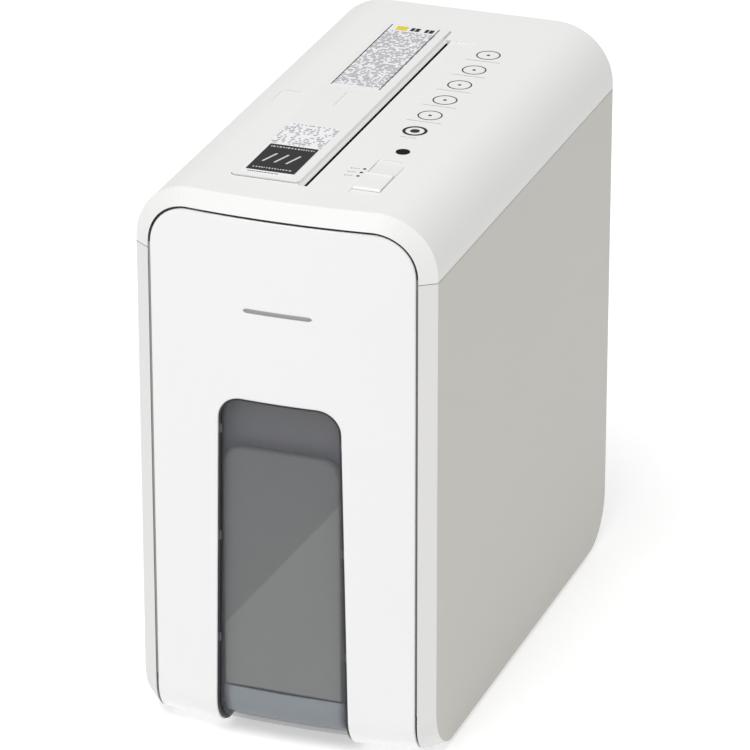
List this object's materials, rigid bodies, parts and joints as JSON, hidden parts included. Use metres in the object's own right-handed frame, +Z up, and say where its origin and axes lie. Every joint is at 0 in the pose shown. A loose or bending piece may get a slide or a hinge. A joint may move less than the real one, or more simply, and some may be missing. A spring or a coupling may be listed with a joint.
{
  "type": "paper shredder",
  "caption": "Narrow upright deskside paper shredder with an arched top, a lengthwise feed slot and a bowed pull-out drawer front with a smoked window",
  "frame": {"origin": "middle of the footprint, on the surface the feet stand on", "axes": "+X to the right seen from the front, +Y from front to rear, +Z up"},
  "size_m": [0.165, 0.3034, 0.3132],
  "materials": {
    "cover_white": "fine matte moulded plastic, off-white",
    "panel_white": "fine satin moulded plastic, cool white",
    "side_white": "fine matte moulded plastic, warm off-white",
    "smoked_clear": "smoked clear polycarbonate",
    "dark_plastic": "black moulded plastic",
    "chassis_grey": "grey structural plastic",
    "nylon": "natural nylon gear plastic",
    "tool_steel": "oiled ground steel",
    "plate_steel": "zinc-plated sheet steel",
    "bronze": "sintered bronze",
    "rubber": "black rubber",
    "label_film": "printed film sticker",
    "board_green": "solder-masked circuit board",
    "alloy": "extruded aluminium",
    "sleeve_blue": "shrink sleeve"
  },
  "bodies": {
    "housing": {"top_cover": "cover_white", "left_side_panel": "side_white", "right_side_panel": "side_white", "bezel_strips": "panel_white", "rear_cover": "cover_white", "base_tray": "chassis_grey", "feet": "rubber", "drawer_rails": "chassis_grey", "deck": "chassis_grey", "drawer_sensor": "dark_plastic", "feed_plate": "cover_white", "slot_guide": "cover_white", "slot_throat": "dark_plastic", "front_label": "label_film", "long_label": "label_film", "slide_switch": "dark_plastic", "indicator_lens": "dark_plastic", "cutter_plate_front": "plate_steel", "cutter_plate_rear": "plate_steel", "tie_rods": "tool_steel", "shaft_bushes": "bronze", "stripper_comb_left": "nylon", "stripper_comb_right": "nylon", "idler_axle": "tool_steel", "motor_body": "dark_plastic", "gear_plate": "plate_steel", "plate_spacers": "tool_steel", "circuit_board": "board_green", "capacitor": "sleeve_blue", "heat_sink": "alloy", "paper_sensors": "dark_plastic", "power_inlet": "dark_plastic", "inlet_pins": "plate_steel", "rear_screws": "plate_steel", "deck_screws": "plate_steel"},
    "drawer": {"front_panel": "panel_white", "window_pane": "smoked_clear", "waste_bin": "smoked_clear", "bin_clips": "panel_white", "drawer_magnet": "tool_steel"},
    "mode_knob": {"mode_slider": "panel_white"},
    "roller_a": {"roller_shaft_a": "tool_steel", "cutting_discs_a": "tool_steel", "sync_gear_a": "tool_steel", "final_gear": "tool_steel"},
    "roller_b": {"roller_shaft_b": "tool_steel", "cutting_discs_b": "tool_steel", "sync_gear_b": "tool_steel"},
    "idler": {"idler_gear": "nylon"},
    "rotor": {"motor_shaft": "tool_steel", "cooling_fan": "dark_plastic"}
  },
  "joints": [
    {"name": "drawer_slide", "type": "slide", "parent": "housing", "child": "drawer", "axis": [0, -1, 0], "range_m": [0, 0.25]},
    {"name": "mode_switch", "type": "slide", "parent": "housing", "child": "mode_knob", "axis": [0, 1, 0], "range_m": [-0.0047, 0.0047]},
    {"name": "roller_a_spin", "type": "hinge", "parent": "housing", "child": "roller_a", "pos_m": [-0.00955, 0, 0.246], "axis": [0, 1, 0], "continuous": true},
    {"name": "roller_b_spin", "type": "hinge", "parent": "housing", "child": "roller_b", "pos_m": [0.01445, 0, 0.246], "axis": [0, 1, 0], "continuous": true},
    {"name": "idler_spin", "type": "hinge", "parent": "housing", "child": "idler", "pos_m": [-0.03742, 0, 0.27109], "axis": [0, 1, 0], "continuous": true},
    {"name": "motor_spin", "type": "hinge", "parent": "housing", "child": "rotor", "pos_m": [-0.05449, 0, 0.24054], "axis": [0, 1, 0], "continuous": true}
  ],
  "couplings": [
    {"joint": "roller_b_spin", "follows": "roller_a_spin", "ratio": -1},
    {"joint": "idler_spin", "follows": "roller_a_spin", "ratio": -2.5714},
    {"joint": "motor_spin", "follows": "roller_a_spin", "ratio": 10.286}
  ]
}
